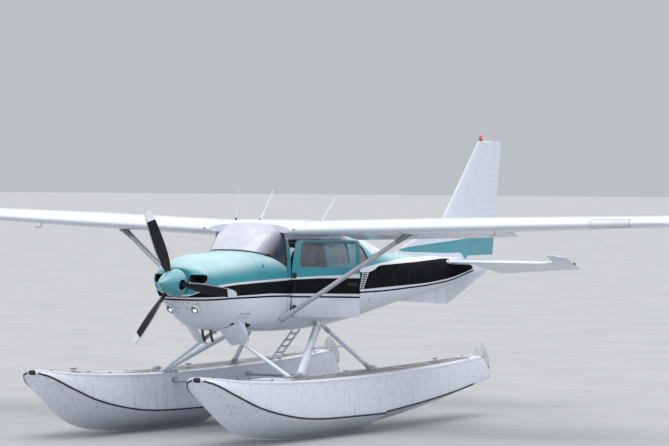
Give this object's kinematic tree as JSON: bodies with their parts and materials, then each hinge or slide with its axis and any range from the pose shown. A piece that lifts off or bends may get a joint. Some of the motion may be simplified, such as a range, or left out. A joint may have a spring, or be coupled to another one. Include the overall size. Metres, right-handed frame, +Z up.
{
  "type": "light floatplane",
  "caption": "High-wing light floatplane with a three-blade propeller, cabin doors, flaps, ailerons, elevator, rudder and twin floats with retractable water rudders.",
  "frame": {"origin": "under the middle of the aircraft, on the ground under the keels", "axes": "+X to the aircraft's left along the wing, +Y towards the tail, +Z up"},
  "size_m": [11.32, 9.6343, 3.7633],
  "materials": {
    "teal_paint": "gloss",
    "white_paint": "gloss",
    "black_paint": "satin",
    "steel": "brushed",
    "grey_alloy": "satin",
    "acrylic": "clear",
    "seat_cloth": "woven",
    "interior_trim": "matte",
    "beacon_red": "gloss"
  },
  "bodies": {
    "airframe": {"beacon": "beacon_red", "belly": "white_paint", "boarding_ladder": "grey_alloy", "boot_cowl": "teal_paint", "cabin_floor": "interior_trim", "cowl_flap_left": "white_paint", "cowl_flap_right": "white_paint", "engine": "steel", "fin": "white_paint", "firewall": "steel", "float_left": "white_paint", "float_right": "white_paint", "float_struts_left": "grey_alloy", "float_struts_right": "grey_alloy", "front_seat_left": "seat_cloth", "front_seat_right": "seat_cloth", "instrument_panel": "interior_trim", "left_middle_window": "acrylic", "left_rear_window": "acrylic", "left_side": "teal_paint", "lower_cowling": "white_paint", "middle_bench": "seat_cloth", "nose_bowl": "teal_paint", "rear_bench": "seat_cloth", "rear_bulkhead": "interior_trim", "rear_roof": "white_paint", "right_front_window": "acrylic", "right_side": "teal_paint", "roof": "white_paint", "spreader_bar_front": "grey_alloy", "spreader_bar_rear": "grey_alloy", "stabilizer": "white_paint", "tail_cone": "white_paint", "upper_cowling": "teal_paint", "ventral_fin": "white_paint", "windshield": "acrylic", "wing_left": "white_paint", "wing_right": "white_paint", "wing_strut_left": "grey_alloy", "wing_strut_right": "grey_alloy"},
    "propeller": {"propeller": "black_paint", "spinner": "teal_paint"},
    "pilot_door": {"pilot_door": "teal_paint", "pilot_door_window": "acrylic"},
    "cargo_door_front": {"cargo_door_front": "teal_paint", "cargo_front_window": "acrylic"},
    "cargo_door_rear": {"cargo_door_rear": "teal_paint", "cargo_rear_window": "acrylic"},
    "flap_left": {"flap_left": "white_paint"},
    "flap_right": {"flap_right": "white_paint"},
    "aileron_left": {"aileron_left": "white_paint"},
    "aileron_right": {"aileron_right": "white_paint"},
    "elevator": {"elevator": "white_paint"},
    "rudder": {"rudder": "white_paint"},
    "water_rudder_post_left": {"water_rudder_post_left": "grey_alloy"},
    "water_rudder_post_right": {"water_rudder_post_right": "grey_alloy"},
    "water_rudder_left": {"water_rudder_left": "white_paint"},
    "water_rudder_right": {"water_rudder_right": "white_paint"}
  },
  "joints": [
    {"name": "propeller_spin", "type": "hinge", "parent": "airframe", "child": "propeller", "pos_m": [0, -3.585, 1.88], "axis": [0, 1, 0], "continuous": true},
    {"name": "pilot_door_swing", "type": "hinge", "parent": "airframe", "child": "pilot_door", "pos_m": [0.56756, -1.767, 1.88], "axis": [0, 0, -1], "range_deg": [-70, 0]},
    {"name": "cargo_door_front_swing", "type": "hinge", "parent": "airframe", "child": "cargo_door_front", "pos_m": [-0.57129, -0.827, 1.88], "axis": [0, 0, 1], "range_deg": [0, 90]},
    {"name": "cargo_door_rear_swing", "type": "hinge", "parent": "airframe", "child": "cargo_door_rear", "pos_m": [-0.49721, 0.303, 1.88], "axis": [0, 0, -1], "range_deg": [0, 100]},
    {"name": "flap_left_hinge", "type": "hinge", "parent": "airframe", "child": "flap_left", "pos_m": [0.64, -0.71133, 2.49509], "axis": [-0.9994, 0.0068, -0.0333], "range_deg": [-12, 28]},
    {"name": "flap_right_hinge", "type": "hinge", "parent": "airframe", "child": "flap_right", "pos_m": [-0.64, -0.71133, 2.49509], "axis": [-0.9994, -0.0068, 0.0333], "range_deg": [-12, 28]},
    {"name": "aileron_left_hinge", "type": "hinge", "parent": "airframe", "child": "aileron_left", "pos_m": [3.014, -0.698, 2.57223], "axis": [-0.9986, 0.0405, -0.034], "range_deg": [-18, 18]},
    {"name": "aileron_right_hinge", "type": "hinge", "parent": "airframe", "child": "aileron_right", "pos_m": [-3.014, -0.698, 2.57223], "axis": [-0.9986, -0.0405, 0.034], "range_deg": [-18, 18]},
    {"name": "elevator_hinge", "type": "hinge", "parent": "airframe", "child": "elevator", "pos_m": [0, 3.635, 2.004], "axis": [1, 0, 0], "range_deg": [0, 45]},
    {"name": "rudder_hinge", "type": "hinge", "parent": "airframe", "child": "rudder", "pos_m": [0, 3.795, 2.03], "axis": [0, 0.391, 0.9204], "range_deg": [-24, 24]},
    {"name": "water_rudder_steer_left", "type": "hinge", "parent": "airframe", "child": "water_rudder_post_left", "pos_m": [1.17, 2.183, 0.59], "axis": [0, 0, 1], "range_deg": [-25, 25]},
    {"name": "water_rudder_steer_right", "type": "hinge", "parent": "airframe", "child": "water_rudder_post_right", "pos_m": [-1.17, 2.183, 0.59], "axis": [0, 0, 1], "range_deg": [-25, 25]},
    {"name": "water_rudder_lift_left", "type": "hinge", "parent": "water_rudder_post_left", "child": "water_rudder_left", "pos_m": [1.17, 2.271, 0.635], "axis": [-1, 0, 0], "range_deg": [0, 160]},
    {"name": "water_rudder_lift_right", "type": "hinge", "parent": "water_rudder_post_right", "child": "water_rudder_right", "pos_m": [-1.17, 2.271, 0.635], "axis": [-1, 0, 0], "range_deg": [0, 160]}
  ],
  "couplings": [
    {"joint": "flap_right_hinge", "follows": "flap_left_hinge", "ratio": 1},
    {"joint": "aileron_right_hinge", "follows": "aileron_left_hinge", "ratio": -1},
    {"joint": "water_rudder_steer_right", "follows": "water_rudder_steer_left", "ratio": 1}
  ]
}
